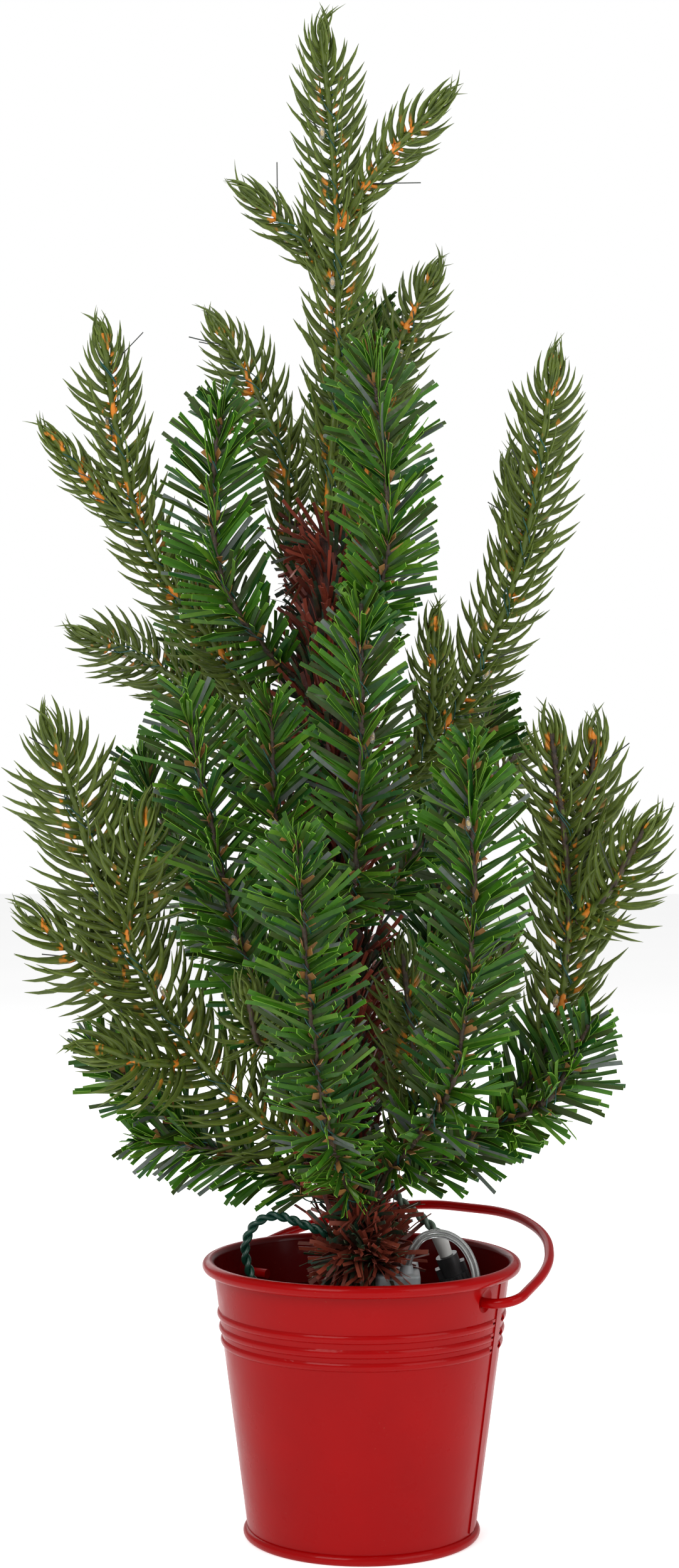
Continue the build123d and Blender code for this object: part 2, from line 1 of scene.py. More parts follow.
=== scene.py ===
"""Finish and foliage for an artificial tabletop tree in an enamelled pail."""

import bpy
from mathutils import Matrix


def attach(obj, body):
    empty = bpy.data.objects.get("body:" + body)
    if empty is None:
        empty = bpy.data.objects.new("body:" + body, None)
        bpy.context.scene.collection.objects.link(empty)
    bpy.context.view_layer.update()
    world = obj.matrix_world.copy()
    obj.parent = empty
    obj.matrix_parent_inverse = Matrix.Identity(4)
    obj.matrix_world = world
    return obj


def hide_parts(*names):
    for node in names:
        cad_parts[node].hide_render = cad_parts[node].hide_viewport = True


bl_info = {
    "name": "Tabletop Tree in a Pail",
    "version": (1, 0, 0),
    "blender": (4, 5, 0),
    "location": "3D View > Sidebar > Tabletop Tree",
    "description": "Grows the needles, tinsel, light string and leads of a small artificial tree",
    "category": "Object",
}

import math
import random

import bmesh
import bpy
import numpy as np
from bpy.props import FloatProperty, FloatVectorProperty, IntProperty, PointerProperty
from bpy.types import Operator, Panel, PropertyGroup
from mathutils import Matrix, Vector

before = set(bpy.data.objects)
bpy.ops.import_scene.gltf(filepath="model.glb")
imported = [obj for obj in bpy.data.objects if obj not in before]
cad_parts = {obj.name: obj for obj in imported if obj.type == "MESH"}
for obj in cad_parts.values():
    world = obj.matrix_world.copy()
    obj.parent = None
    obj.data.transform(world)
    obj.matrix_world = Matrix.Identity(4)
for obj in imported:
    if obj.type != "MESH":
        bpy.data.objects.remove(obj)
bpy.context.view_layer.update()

UP = Vector((0, 0, 1))
TOWARDS_FRONT = Vector((0, -1, 0))
ACROSS_LEADS = Vector((0.35, 0.9, 0.1))

TRUNK_X = -0.007            # the trunk's axis stands this far left of the pail's
EASING_TURNS = 30           # how often a stem's line is smoothed
LAYER = 0.0025              # the thickness of the slices that a centreline is read from
ROOT_BARE = 0.010           # bare wire where a branch leaves the trunk
SHOOT_BARE = 0.004          # bare wire where a shoot leaves its branch
MIXED_CUT = 0.42            # share of a mixed wire that carries cut strips

# The needles' directions round the spine, taken in turn. Most stand to its two sides.
NEEDLE_ROWS = [math.radians(a) for a in (0, 180, 34, 214, -34, 146, 4, 184, 62, 242, -28, 152)]
NEEDLE_KINDS, STRIP_KINDS, CHIP_KINDS = 5, 6, 3
BRISTLE_CHANCE = 0.025
CHIP_LENGTH, CHIP_WIDTH = 0.0056, 0.0025
BRISTLE_LENGTH, BRISTLE_WIDTH, BRISTLE_THICK = 0.021, 0.0004, 0.00025
SPINE_RADIUS = 0.0017
BUD_SIZE = (0.0014, 0.0014, 0.0032)
CORE_WIRE_RADIUS, CORE_WIRE_OFFSET, CORE_WIRE_LAY = 0.00062, 0.00088, 0.0048
MATTING_RADIUS = 0.0078
FOOT_FLARE = 0.036          # the length of trunk over the pail where the tinsel splays
BEAD_SIZE, BEAD_CHIP_SIZE, BEAD_STAND_OFF = (0.0012, 0.0012, 0.0026), (0.0006, 0.0006, 0.0011), 0.0045

# What each branch carries: first its own wire, then its side shoots from the trunk outwards.
# A mixed wire carries cut strips near the trunk and moulded needles further out. The number is
# how long the branch's moulded needles are, as a share of the full length.
FOLIAGE = {
    "leader": ("sprig", ["sprig", "sprig"], 0.84),
    "top_right": ("sprig", [], 0.82),
    "top_left": ("sprig", [], 0.82),
    "top_front": ("twig", [], 1.0),
    "top_back": ("twig", ["sprig"], 1.0),
    "upper_left": ("twig", [], 1.0),
    "mid_left": ("sprig", ["sprig"], 0.8),
    "mid_left_back": ("sprig", ["twig"], 0.9),
    "mid_right": ("sprig", ["sprig", "sprig"], 0.86),
    "mid_right_back": ("twig", ["sprig"], 1.0),
    "mid_front": ("twig", [], 1.0),
    "mid_front_left": ("twig", [], 1.0),
    "low_front_left": ("twig", ["sprig"], 1.0),
    "low_left": ("sprig", ["sprig", "sprig", "sprig"], 1.18),
    "low_left_under": ("twig", ["twig"], 1.0),
    "low_front": ("twig", [], 1.0),
    "low_front_right": ("twig", ["sprig"], 1.0),
    "low_right": ("mixed", ["twig", "sprig", "sprig"], 1.08),
    "back_left": ("twig", ["twig"], 1.0),
    "back_low": ("twig", ["sprig", "sprig"], 1.0),
    "back_right": ("twig", ["sprig"], 1.0),
}

# The leads' routes, in metres. Each route's first point is where the lead leaves what it is fixed to.
CLEAR_LEAD_ROUTE = [
    (0.0175, -0.006, 0.106), (0.0205, -0.0055, 0.1155), (0.0295, -0.005, 0.119),
    (0.0385, -0.005, 0.1155), (0.044, -0.007, 0.1065), (0.045, -0.010, 0.096),
    (0.0445, -0.0135, 0.086), (0.0445, -0.0155, 0.076), (0.0455, -0.0125, 0.0665),
    (0.0468, -0.004, 0.0595), (0.0476, 0.006, 0.0608), (0.04804, 0.01395, 0.06843),
    (0.04438, 0.01273, 0.0782),
]
RIGHT_PAIR_ROUTE = [
    (0.0059, 0.0063, 0.150), (0.0095, 0.0095, 0.141), (0.0125, 0.0115, 0.132),
    (0.018, 0.011, 0.1255), (0.025, 0.0094, 0.1215), (0.0302, 0.008, 0.116),
]
LEFT_PAIR_ROUTE = [
    (-0.0134, -0.005, 0.118), (-0.023, -0.0065, 0.122), (-0.034, -0.005, 0.126),
    (-0.0425, -0.0045, 0.122), (-0.0463, -0.005, 0.1125), (-0.0435, -0.006, 0.102),
    (-0.038, -0.008, 0.091), (-0.0315, -0.010, 0.080), (-0.024, -0.0105, 0.070),
    (-0.0145, -0.008, 0.063), (-0.0052, -0.0026, 0.060),
]


# ------------------------------------------------------------------ settings
def colour_setting(name, description, default):
    return FloatVectorProperty(
        name=name, description=description, default=default, subtype="COLOR", min=0, max=1
    )


def length_setting(name, description, default):
    return FloatProperty(
        name=name, description=description, default=default, unit="LENGTH", min=0, precision=4
    )


class PailSettings(PropertyGroup):
    enamel: colour_setting("Enamel", "Colour of the pail's gloss enamel", (0.300, 0.0003, 0.0008))
    enamel_deep: colour_setting("Deep enamel", "Darker clouds in the enamel", (0.265, 0.0004, 0.001))
    roughness: FloatProperty(
        name="Roughness", description="Roughness of the enamel", default=0.3, min=0, max=1
    )


class StripSettings(PropertyGroup):
    width: length_setting("Width", "Width of a cut strip", 0.0018)
    length: length_setting("Length", "Length of a full cut strip", 0.0245)
    thickness: length_setting("Thickness", "Thickness of the film", 0.00022)
    pitch: length_setting("Pitch", "Distance between bundles of strips on the wire", 0.0029)
    lean: FloatProperty(
        name="Lean", description="Angle between the wire and a full strip", default=math.radians(57),
        subtype="ANGLE",
    )
    fresh: colour_setting("Fresh green", "Colour of most strips", (0.034, 0.128, 0.003))
    dark: colour_setting("Dark olive", "Colour of the darker strips", (0.027, 0.050, 0.003))
    # Painted sheen: the grey strips stand in for strips that catch the light and reflect it.
    sheen: colour_setting("Grey sheen", "Colour of the few greyish strips", (0.11, 0.13, 0.12))
    cut_edge: colour_setting("Cut edge", "Colour along the film's cut edges", (0.19, 0.42, 0.03))
    chip: colour_setting("Brown chips", "Colour of the short brown chips", (0.42, 0.20, 0.055))


class NeedleSettings(PropertyGroup):
    width: length_setting("Width", "Width of a moulded needle at its widest", 0.0022)
    length: length_setting("Length", "Length of a full needle", 0.0250)
    thickness: length_setting("Thickness", "Thickness of a needle", 0.0009)
    pitch: length_setting("Pitch", "Distance along the spine from one needle to the next", 0.00078)
    skin: colour_setting("Needle green", "Main colour of the moulded needles", (0.098, 0.138, 0.016))
    shade: colour_setting("Deep green", "Darker clouds in the needles", (0.044, 0.070, 0.009))
    rim: colour_setting("Edge green", "Lighter colour along a needle's edges", (0.23, 0.31, 0.055))
    blush: colour_setting("Orange blush", "Sprayed spots near the spine", (0.68, 0.22, 0.02))


class TrunkSettings(PropertyGroup):
    length: length_setting("Strip length", "Length of a tinsel strip on the trunk", 0.0175)
    width: length_setting("Strip width", "Width of a tinsel strip", 0.0015)
    per_metre: IntProperty(
        name="Strips per metre", description="How many strips a metre of trunk carries", default=6400, min=0
    )
    brick: colour_setting("Brick", "Colour of the red-brown strips", (0.30, 0.055, 0.030))
    green: colour_setting("Dark green", "Colour of the green strips", (0.008, 0.035, 0.020))


class LeadSettings(PropertyGroup):
    clear_width: length_setting("Clear lead", "Width of the flat two-core lead", 0.0034)
    pair_width: length_setting("Twisted pair", "Width over a twisted pair", 0.004)
    pair_lay: length_setting("Pair lay", "Length of one full turn of a pair", 0.009)
    insulation: colour_setting("Insulation", "Colour of the left pair's insulation", (0.006, 0.060, 0.036))
    pale: colour_setting("Pale insulation", "Colour of the right pair's insulation", (0.16, 0.23, 0.17))


class LightStringSettings(PropertyGroup):
    wire: length_setting("Wire", "Diameter of the thin light wire", 0.0005)
    spacing: length_setting("Spacing", "Distance between two light beads", 0.062)
    tint: colour_setting("Wire colour", "Colour of the lacquered wire", (0.006, 0.085, 0.070))


class StageSettings(PropertyGroup):
    floor: colour_setting("Floor", "Colour of the floor", (0.90, 0.90, 0.90))
    key: FloatProperty(
        name="Key", description="Power of the main soft light", default=20, min=0, unit="POWER"
    )
    fill: FloatProperty(
        name="Fill", description="Power of the filling light", default=11, min=0, unit="POWER"
    )


# ------------------------------------------------------------------ finishes
def finish_of(name, colour=None, roughness=0.5, **sockets):
    """A new material, its node tree and its surface shader."""
    material = bpy.data.materials.new(name)
    material.use_nodes = True
    tree = material.node_tree
    shader = tree.nodes["Principled BSDF"]
    if colour is not None:
        shader.inputs["Base Color"].default_value = (*colour, 1)
        material.diffuse_color = (*colour, 1)
    shader.inputs["Roughness"].default_value = roughness
    for socket, value in sockets.items():
        shader.inputs[socket.replace("_", " ")].default_value = value
    return material, tree, shader


def place_of(tree, scale=(1, 1, 1), turn=(0, 0, 0)):
    """The piece's own coordinates, stretched and turned."""
    where = tree.nodes.new("ShaderNodeTexCoord")
    mapping = tree.nodes.new("ShaderNodeMapping")
    mapping.inputs["Scale"].default_value = scale
    mapping.inputs["Rotation"].default_value = turn
    tree.links.new(where.outputs["Object"], mapping.inputs["Vector"])
    return mapping.outputs["Vector"]


def clouds(tree, place, scale, detail=3.0, rough=0.55):
    noise = tree.nodes.new("ShaderNodeTexNoise")
    noise.inputs["Scale"].default_value = scale
    noise.inputs["Detail"].default_value = detail
    noise.inputs["Roughness"].default_value = rough
    tree.links.new(place, noise.inputs["Vector"])
    return noise.outputs["Fac"]


def reading(tree, name):
    attribute = tree.nodes.new("ShaderNodeAttribute")
    attribute.attribute_name = name
    return attribute.outputs["Fac"]


def banded(tree, value, stops, steps=False):
    """Colours over a value from 0 to 1."""
    ramp = tree.nodes.new("ShaderNodeValToRGB")
    ramp.color_ramp.interpolation = "CONSTANT" if steps else "LINEAR"
    elements = ramp.color_ramp.elements
    while len(elements) < len(stops):
        elements.new(0.5)
    for element, (at, colour) in zip(elements, sorted(stops, key=lambda s: s[0])):
        element.position = at
        element.color = (*colour, 1) if len(colour) == 3 else colour
    tree.links.new(value, ramp.inputs["Fac"])
    return ramp.outputs["Color"]


def spread_of(tree, value, low, high, to_low=0.0, to_high=1.0):
    span = tree.nodes.new("ShaderNodeMapRange")
    span.inputs["From Min"].default_value = low
    span.inputs["From Max"].default_value = high
    span.inputs["To Min"].default_value = to_low
    span.inputs["To Max"].default_value = to_high
    tree.links.new(value, span.inputs["Value"])
    return span.outputs["Result"]


def blended(tree, share, first, second, kind="MIX"):
    """Two colours mixed, each a socket or a colour."""
    mix = tree.nodes.new("ShaderNodeMix")
    mix.data_type = "RGBA"
    mix.blend_type = kind
    sockets = [s for s in mix.inputs if (s.name, s.type) == ("Factor", "VALUE") or s.type == "RGBA"]
    for socket, given in zip(sockets, (share, first, second)):
        if isinstance(given, bpy.types.NodeSocket):
            tree.links.new(given, socket)
        elif isinstance(given, (int, float)):
            socket.default_value = given
        else:
            socket.default_value = (*given, 1)
    return [s for s in mix.outputs if s.type == "RGBA"][0]


def product(tree, first, second, kind="MULTIPLY"):
    maths = tree.nodes.new("ShaderNodeMath")
    maths.operation = kind
    for socket, given in zip(maths.inputs, (first, second)):
        if isinstance(given, (int, float)):
            socket.default_value = given
        else:
            tree.links.new(given, socket)
    return maths.outputs["Value"]


def relief(tree, shader, height, strength, distance):
    bump = tree.nodes.new("ShaderNodeBump")
    bump.inputs["Strength"].default_value = strength
    bump.inputs["Distance"].default_value = distance
    tree.links.new(height, bump.inputs["Height"])
    tree.links.new(bump.outputs["Normal"], shader.inputs["Normal"])


def dimmed(colour, share):
    return tuple(share * c for c in colour)


def coloured(tree, shader, colour):
    tree.links.new(colour, shader.inputs["Base Color"])


def uneven(tree, shader, drift, least, most, high=0.75):
    """Roughness that drifts over the surface from one value to another."""
    tree.links.new(spread_of(tree, drift, 0.3, high, least, most), shader.inputs["Roughness"])


def inner_shade_mask(tree):
    """One where a surface faces the pail's axis, and nothing where it faces out: the mask for the painted
    shade inside the pail.
    """
    where = tree.nodes.new("ShaderNodeTexCoord")
    level = tree.nodes.new("ShaderNodeVectorMath")
    level.operation = "MULTIPLY"
    level.inputs[1].default_value = (1, 1, 0)
    surface = tree.nodes.new("ShaderNodeNewGeometry")
    facing = tree.nodes.new("ShaderNodeVectorMath")
    facing.operation = "DOT_PRODUCT"
    tree.links.new(where.outputs["Object"], level.inputs[0])
    tree.links.new(level.outputs["Vector"], facing.inputs[0])
    tree.links.new(surface.outputs["Normal"], facing.inputs[1])
    return spread_of(tree, facing.outputs["Value"], -0.04, -0.01, 1.0, 0.0)


def enamel_finish(name, settings, wear_and_shade_gate=0.5):
    material, tree, shader = finish_of(name, settings.enamel, settings.roughness)
    shader.inputs["Specular IOR Level"].default_value = 0.04
    shader.inputs["Coat Weight"].default_value = 0.16
    shader.inputs["Coat Roughness"].default_value = 0.1
    place = place_of(tree)
    drift = clouds(tree, place, 28, 4)
    base = blended(tree, spread_of(tree, drift, 0.35, 0.7), settings.enamel, settings.enamel_deep)
    dust = clouds(tree, place, 950, 2, 0.7)
    specks = product(
        tree, spread_of(tree, dust, 0.69, 0.75), spread_of(tree, clouds(tree, place, 60, 2), 0.48, 0.62)
    )
    # Painted shade: below 0.6 the enamel facing the pail's axis, inside the pail, is painted much darker.
    # The same number also sets how many wear chips show.
    if wear_and_shade_gate < 0.6:
        inside = dimmed(settings.enamel_deep, 0.42)
        base = blended(tree, inner_shade_mask(tree), base, inside)
    chipped = blended(tree, product(tree, specks, wear_and_shade_gate), base, (0.30, 0.06, 0.04))
    coloured(tree, shader, chipped)
    uneven(tree, shader, clouds(tree, place, 75, 4), settings.roughness - 0.06, settings.roughness + 0.12)
    relief(tree, shader, clouds(tree, place, 340, 2), 0.12, 0.0004)
    return material


def plastic_finish(name, colour, darker, roughness=0.42, grain=1400, strength=0.15, **sockets):
    material, tree, shader = finish_of(name, colour, roughness, **sockets)
    place = place_of(tree)
    drift = spread_of(tree, clouds(tree, place, 90, 3), 0.35, 0.7)
    coloured(tree, shader, blended(tree, drift, colour, darker))
    uneven(tree, shader, clouds(tree, place, 260, 3), roughness - 0.07, roughness + 0.1)
    relief(tree, shader, clouds(tree, place, grain, 2), strength, 0.0002)
    return material


def metal_finish(name, colour, roughness=0.3, brushed=(1, 1, 1)):
    material, tree, shader = finish_of(name, colour, roughness, Metallic=1.0)
    place = place_of(tree, brushed)
    drift = spread_of(tree, clouds(tree, place, 700, 3), 0.3, 0.7)
    coloured(tree, shader, blended(tree, drift, colour, dimmed(colour, 0.7)))
    uneven(tree, shader, clouds(tree, place, 500, 3), roughness - 0.08, roughness + 0.15)
    relief(tree, shader, clouds(tree, place, 1200, 2), 0.1, 0.0001)
    return material


def cast_finish(name):
    material, tree, shader = finish_of(name, (0.05, 0.045, 0.04), 0.85)
    place = place_of(tree)
    coloured(tree, shader, banded(tree, clouds(tree, place, 130, 6, 0.7), [
        (0.3, (0.022, 0.020, 0.018)), (0.52, (0.060, 0.054, 0.047)), (0.72, (0.13, 0.12, 0.105))
    ]))
    relief(tree, shader, clouds(tree, place, 420, 6, 0.7), 0.7, 0.0015)
    return material


def shaded_matting_finish(name, settings):
    """The matted inner layer of the trunk's tinsel, partly the packed tinsel and partly painted shade: its
    colours run far darker than the strips'.
    """
    material, tree, shader = finish_of(name, settings.brick, 0.7)
    fibres = clouds(tree, place_of(tree, (1, 1, 0.22)), 620, 5, 0.7)
    # Partly painted shade: these bands are much darker than the tinsel's own brick and green.
    coloured(tree, shader, banded(tree, fibres, [
        (0.34, (0.008, 0.014, 0.010)), (0.5, (0.045, 0.014, 0.010)), (0.68, dimmed(settings.brick, 0.7))
    ]))
    relief(tree, shader, fibres, 0.9, 0.002)
    return material


def film_finish(name, colours, roughness=0.42):
    """Cut film: each strip takes one colour of the family, with painted shade that darkens it towards its
    base by the wire, so it is brighter towards its tip.
    """
    material, tree, shader = finish_of(name, colours[0][1], roughness, Specular_IOR_Level=0.32)
    tone, along = reading(tree, "tone"), reading(tree, "along")
    family = banded(tree, tone, colours, steps=True)
    place = place_of(tree)
    # Painted shade: each strip is darkened towards its base, where the strips crowd round the wire.
    base_shade_painted = banded(tree, along, [(0.0, (0.52,) * 3), (0.35, (0.85,) * 3), (1.0, (1.0,) * 3)])
    shaded = blended(tree, 1.0, family, base_shade_painted, "MULTIPLY")
    mottle = spread_of(tree, clouds(tree, place, 320, 3), 0.4, 0.72, 0.0, 0.4)
    coloured(tree, shader, blended(tree, mottle, shaded, dimmed(colours[0][1], 0.55)))
    uneven(tree, shader, clouds(tree, place, 500, 2), roughness - 0.1, roughness + 0.14, 0.7)
    relief(tree, shader, clouds(tree, place, 900, 2), 0.25, 0.0002)
    return material


def needle_finish(name, settings):
    """Moulded needles: lighter along the edges, with sprayed orange spots near the spine."""
    material, tree, shader = finish_of(name, settings.skin, 0.4, Specular_IOR_Level=0.32)
    tone, along, edge = reading(tree, "tone"), reading(tree, "along"), reading(tree, "edge")
    place = place_of(tree)
    drift = spread_of(tree, clouds(tree, place, 210, 3), 0.35, 0.68)
    skin = blended(tree, drift, settings.skin, settings.shade)
    varied = blended(tree, spread_of(tree, tone, 0.0, 1.0, 0.0, 0.55), skin, settings.shade)
    rim = blended(tree, product(tree, spread_of(tree, edge, 0.45, 1.0), 0.6), varied, settings.rim)
    near_spine = spread_of(tree, along, 0.12, 0.42, 1.0, 0.0)
    sprayed = spread_of(tree, clouds(tree, place_of(tree, (1, 1, 0.45)), 190, 2), 0.60, 0.64)
    coloured(tree, shader, blended(tree, product(tree, sprayed, near_spine), rim, settings.blush))
    uneven(tree, shader, clouds(tree, place, 420, 2), 0.3, 0.5, 0.7)
    relief(tree, shader, clouds(tree, place, 800, 2), 0.2, 0.0003)
    return material


def wire_finish(name):
    material, tree, shader = finish_of(name, (0.045, 0.028, 0.016), 0.55)
    place = place_of(tree)
    coloured(tree, shader, banded(tree, clouds(tree, place, 500, 4), [
        (0.35, (0.016, 0.012, 0.008)), (0.6, (0.060, 0.034, 0.016)), (0.75, (0.030, 0.045, 0.015))
    ]))
    relief(tree, shader, clouds(tree, place, 900, 2), 0.5, 0.0004)
    return material


def clear_finish(name, tint=(0.9, 0.93, 0.92), roughness=0.12):
    material, tree, shader = finish_of(name, tint, roughness, IOR=1.47)
    shader.inputs["Transmission Weight"].default_value = 0.85
    place = place_of(tree)
    uneven(tree, shader, clouds(tree, place, 600, 2), roughness - 0.05, roughness + 0.12, 0.7)
    relief(tree, shader, clouds(tree, place, 260, 1), 0.03, 0.0001)
    return material


# ------------------------------------------------------------------ small shapes
def bow(bm, length, towards, angle):
    """Bends a shape that stands along Z, so that its far end turns towards a direction."""
    if abs(angle) < 1e-4:
        return
    axis, radius = UP.cross(towards), length / angle
    for v in bm.verts:
        turn = angle * v.co.z / length
        middle = towards * (radius * (1 - math.cos(turn))) + UP * (radius * math.sin(turn))
        v.co = middle + Matrix.Rotation(turn, 3, axis) @ Vector((v.co.x, v.co.y, 0))


def kept_mesh(bm, name):
    mesh = bpy.data.meshes.new(name)
    bm.to_mesh(mesh)
    bm.free()
    return mesh


def standing(thickness, width, length, cuts, bm):
    """Stands a shape of size 1 on its end and cuts it across."""
    bmesh.ops.scale(bm, vec=(thickness, width, length), verts=bm.verts)
    bmesh.ops.translate(bm, vec=(0, 0, length / 2), verts=bm.verts)
    tall = [e for e in bm.edges if abs(e.verts[0].co.z - e.verts[1].co.z) > length / 2]
    bmesh.ops.subdivide_edges(bm, edges=tall, cuts=cuts)


def strip_shape(name, length, width, thickness, bend, sway, cuts=2):
    """A flat strip of cut film, its face towards X. Its cut edges take the second finish."""
    bm = bmesh.new()
    bmesh.ops.create_cube(bm, size=1)
    standing(thickness, width, length, cuts, bm)
    bm.normal_update()
    for face in bm.faces:
        face.material_index = 0 if abs(face.normal.x) > 0.5 else 1
    along = [v.co.z / length for v in bm.verts]
    edge = [1.0 for _ in bm.verts]
    bow(bm, length, Vector((1, 0, 0)), bend)
    for v in bm.verts:
        v.co.y += sway * (v.co.z / length) ** 2
    return {"mesh": kept_mesh(bm, name), "along": along, "edge": edge}


def needle_shape(name, length, width, thickness, bend):
    """A moulded needle with a ridge on each face, curving towards Y to its point."""
    bm = bmesh.new()
    bmesh.ops.create_cone(bm, cap_ends=True, segments=4, radius1=0.5, radius2=0.5, depth=1)
    standing(thickness, width, length, 4, bm)
    fullness = [(0.0, 0.62), (0.2, 0.94), (0.4, 1.0), (0.6, 0.86), (0.8, 0.56), (1.0, 0.06)]
    along, edge = [], []
    for v in bm.verts:
        share = min(1.0, max(0.0, v.co.z / length))
        full = np.interp(share, [f[0] for f in fullness], [f[1] for f in fullness])
        edge.append(min(1.0, abs(v.co.y) / (width / 2)))
        v.co.x *= full
        v.co.y *= full
        along.append(share)
    bow(bm, length, Vector((0, 1, 0)), bend)
    return {"mesh": kept_mesh(bm, name), "along": along, "edge": edge}


def grow(name, shapes, placings, finishes):
    """One piece made of many copies of small shapes. A placing is (shape, matrix, tone)."""
    bm = bmesh.new()
    for kind, matrix, _ in placings:
        first = len(bm.verts)
        bm.from_mesh(shapes[kind]["mesh"])
        bm.verts.ensure_lookup_table()
        bmesh.ops.transform(bm, matrix=matrix, verts=bm.verts[first:])
    mesh = kept_mesh(bm, name)
    for finish in finishes:
        mesh.materials.append(finish)
    readings = {
        "tone": [tone for kind, _, tone in placings for _ in shapes[kind]["along"]],
        "along": [a for kind, _, _ in placings for a in shapes[kind]["along"]],
        "edge": [e for kind, _, _ in placings for e in shapes[kind]["edge"]],
    }
    for key, values in readings.items():
        mesh.attributes.new(key, "FLOAT", "POINT").data.foreach_set("value", np.array(values, np.float32))
    return new_piece(name, mesh)


def new_piece(name, mesh):
    piece = bpy.data.objects.new(name, mesh)
    bpy.context.scene.collection.objects.link(piece)
    return piece


def smooth(piece):
    for polygon in piece.data.polygons:
        polygon.use_smooth = True
    return piece


def pour(bm, meshes):
    """Adds ready meshes, each given with the number of its finish."""
    for mesh, index in meshes:
        first = len(bm.faces)
        bm.from_mesh(mesh)
        bm.faces.ensure_lookup_table()
        for face in bm.faces[first:]:
            face.material_index = index
            face.smooth = True


def joined(name, meshes, finishes):
    """One piece from several meshes, each given with the number of its finish."""
    bm = bmesh.new()
    pour(bm, meshes)
    whole = kept_mesh(bm, name)
    for finish in finishes:
        whole.materials.append(finish)
    return new_piece(name, whole)


def mesh_of_curve(curve):
    holder = bpy.data.objects.new(curve.name, curve)
    mesh = bpy.data.meshes.new_from_object(holder)
    bpy.data.objects.remove(holder)
    bpy.data.curves.remove(curve)
    return mesh


def tube_along(points, radius, resolution=1, radii=None):
    """The mesh of a round tube along points close together, closed at both ends."""
    curve = bpy.data.curves.new("tube", "CURVE")
    curve.dimensions, curve.use_fill_caps = "3D", True
    curve.bevel_depth, curve.bevel_resolution = radius, resolution
    spline = curve.splines.new("POLY")
    spline.points.add(len(points) - 1)
    for i, (point, p) in enumerate(zip(spline.points, points)):
        point.co = (*p, 1)
        point.radius = 1.0 if radii is None else radii[i]
    return mesh_of_curve(curve)


def route_line(route):
    """Points down the smooth line that a route's points control."""
    curve = bpy.data.curves.new("route", "CURVE")
    curve.dimensions = "3D"
    spline = curve.splines.new("NURBS")
    spline.points.add(len(route) - 1)
    for point, place in zip(spline.points, route):
        point.co = (*place, 1)
    spline.order_u = 3
    spline.use_endpoint_u = True
    mesh = mesh_of_curve(curve)
    line = [v.co.copy() for v in mesh.vertices]
    bpy.data.meshes.remove(mesh)
    return line


# ------------------------------------------------------------------ lines along stems
def spaced(points, step):
    """The line again with points an even step apart."""
    along = [0.0]
    for a, b in zip(points, points[1:]):
        along.append(along[-1] + (b - a).length)
    count = max(2, round(along[-1] / step) + 1)
    at = np.linspace(0, along[-1], count)
    columns = [np.interp(at, along, [p[k] for p in points]) for k in range(3)]
    return [Vector(row) for row in zip(*columns)]


def eased(points, turns):
    for _ in range(turns):
        middle = [(a + b * 2 + c) / 4 for a, b, c in zip(points, points[1:], points[2:])]
        points = [points[0], *middle, points[-1]]
    return points


class StemLine:
    """A stem's centreline with a side and a face direction at each point."""

    step = 0.001

    def __init__(self, points):
        self.points = eased(spaced(points, self.step), EASING_TURNS)
        self.points = spaced(self.points, self.step)
        count = len(self.points)
        self.length = self.step * (count - 1)
        self.ahead = [
            (self.points[min(i + 1, count - 1)] - self.points[max(i - 1, 0)]).normalized()
            for i in range(count)
        ]
        faces = [TOWARDS_FRONT]
        for ahead in reversed(self.ahead):
            face = faces[-1] - ahead * faces[-1].dot(ahead)
            faces.append(face.normalized())
        self.face = list(reversed(faces[1:]))
        self.side = [a.cross(f) for a, f in zip(self.ahead, self.face)]

    def at(self, s):
        i = min(len(self.points) - 1, max(0, round(s / self.step)))
        return self.points[i], self.ahead[i], self.side[i], self.face[i]

    def outwards(self, s, angle):
        """Place, direction ahead, and the direction out of the stem at an angle round it."""
        point, ahead, side, face = self.at(s)
        return point, ahead, side * math.cos(angle) + face * math.sin(angle)


class LeadLine:
    """A lead's smooth line with a direction across it at each point."""

    step = 0.0007

    def __init__(self, route):
        self.points = route_line(route)
        self.length = sum((b - a).length for a, b in zip(self.points, self.points[1:]))

    def turning(self, phase, lay):
        """Points along the lead and a direction across it that turns once in each lay."""
        points = spaced(self.points, self.step)
        ahead = (points[1] - points[0]).normalized()
        across = ahead.cross(ACROSS_LEADS).normalized()
        placed, s = [], 0.0
        for i, point in enumerate(points):
            ahead = (points[min(i + 1, len(points) - 1)] - points[max(i - 1, 0)]).normalized()
            across = (across - ahead * across.dot(ahead)).normalized()
            turn = phase + (2 * math.pi * s / lay if lay else 0)
            placed.append((point, Matrix.Rotation(turn, 3, ahead) @ across))
            s += self.step
        return placed


def solids_of(node):
    """The corner points of each separate solid of a CAD node."""
    bm = bmesh.new()
    bm.from_mesh(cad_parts[node].data)
    bmesh.ops.remove_doubles(bm, verts=bm.verts, dist=1e-6)
    seen, solids = set(), []
    for first in bm.verts:
        if first in seen:
            continue
        seen.add(first)
        solid = [first]
        for v in solid:
            for edge in v.link_edges:
                other = edge.other_vert(v)
                if other not in seen:
                    seen.add(other)
                    solid.append(other)
        solids.append([v.co.copy() for v in solid])
    bm.free()
    return solids


def middle_of(solid, near):
    """The centreline of a slender solid, from its end nearest to a point."""
    root = min(solid, key=lambda p: (p - near).length)
    tip = max(solid, key=lambda p: (p - root).length)
    chord = (tip - root).normalized()
    layers = {}
    for p in solid:
        layers.setdefault(round((p - root).dot(chord) / LAYER), []).append(p)
    return [sum(layers[k], Vector()) / len(layers[k]) for k in sorted(layers)]


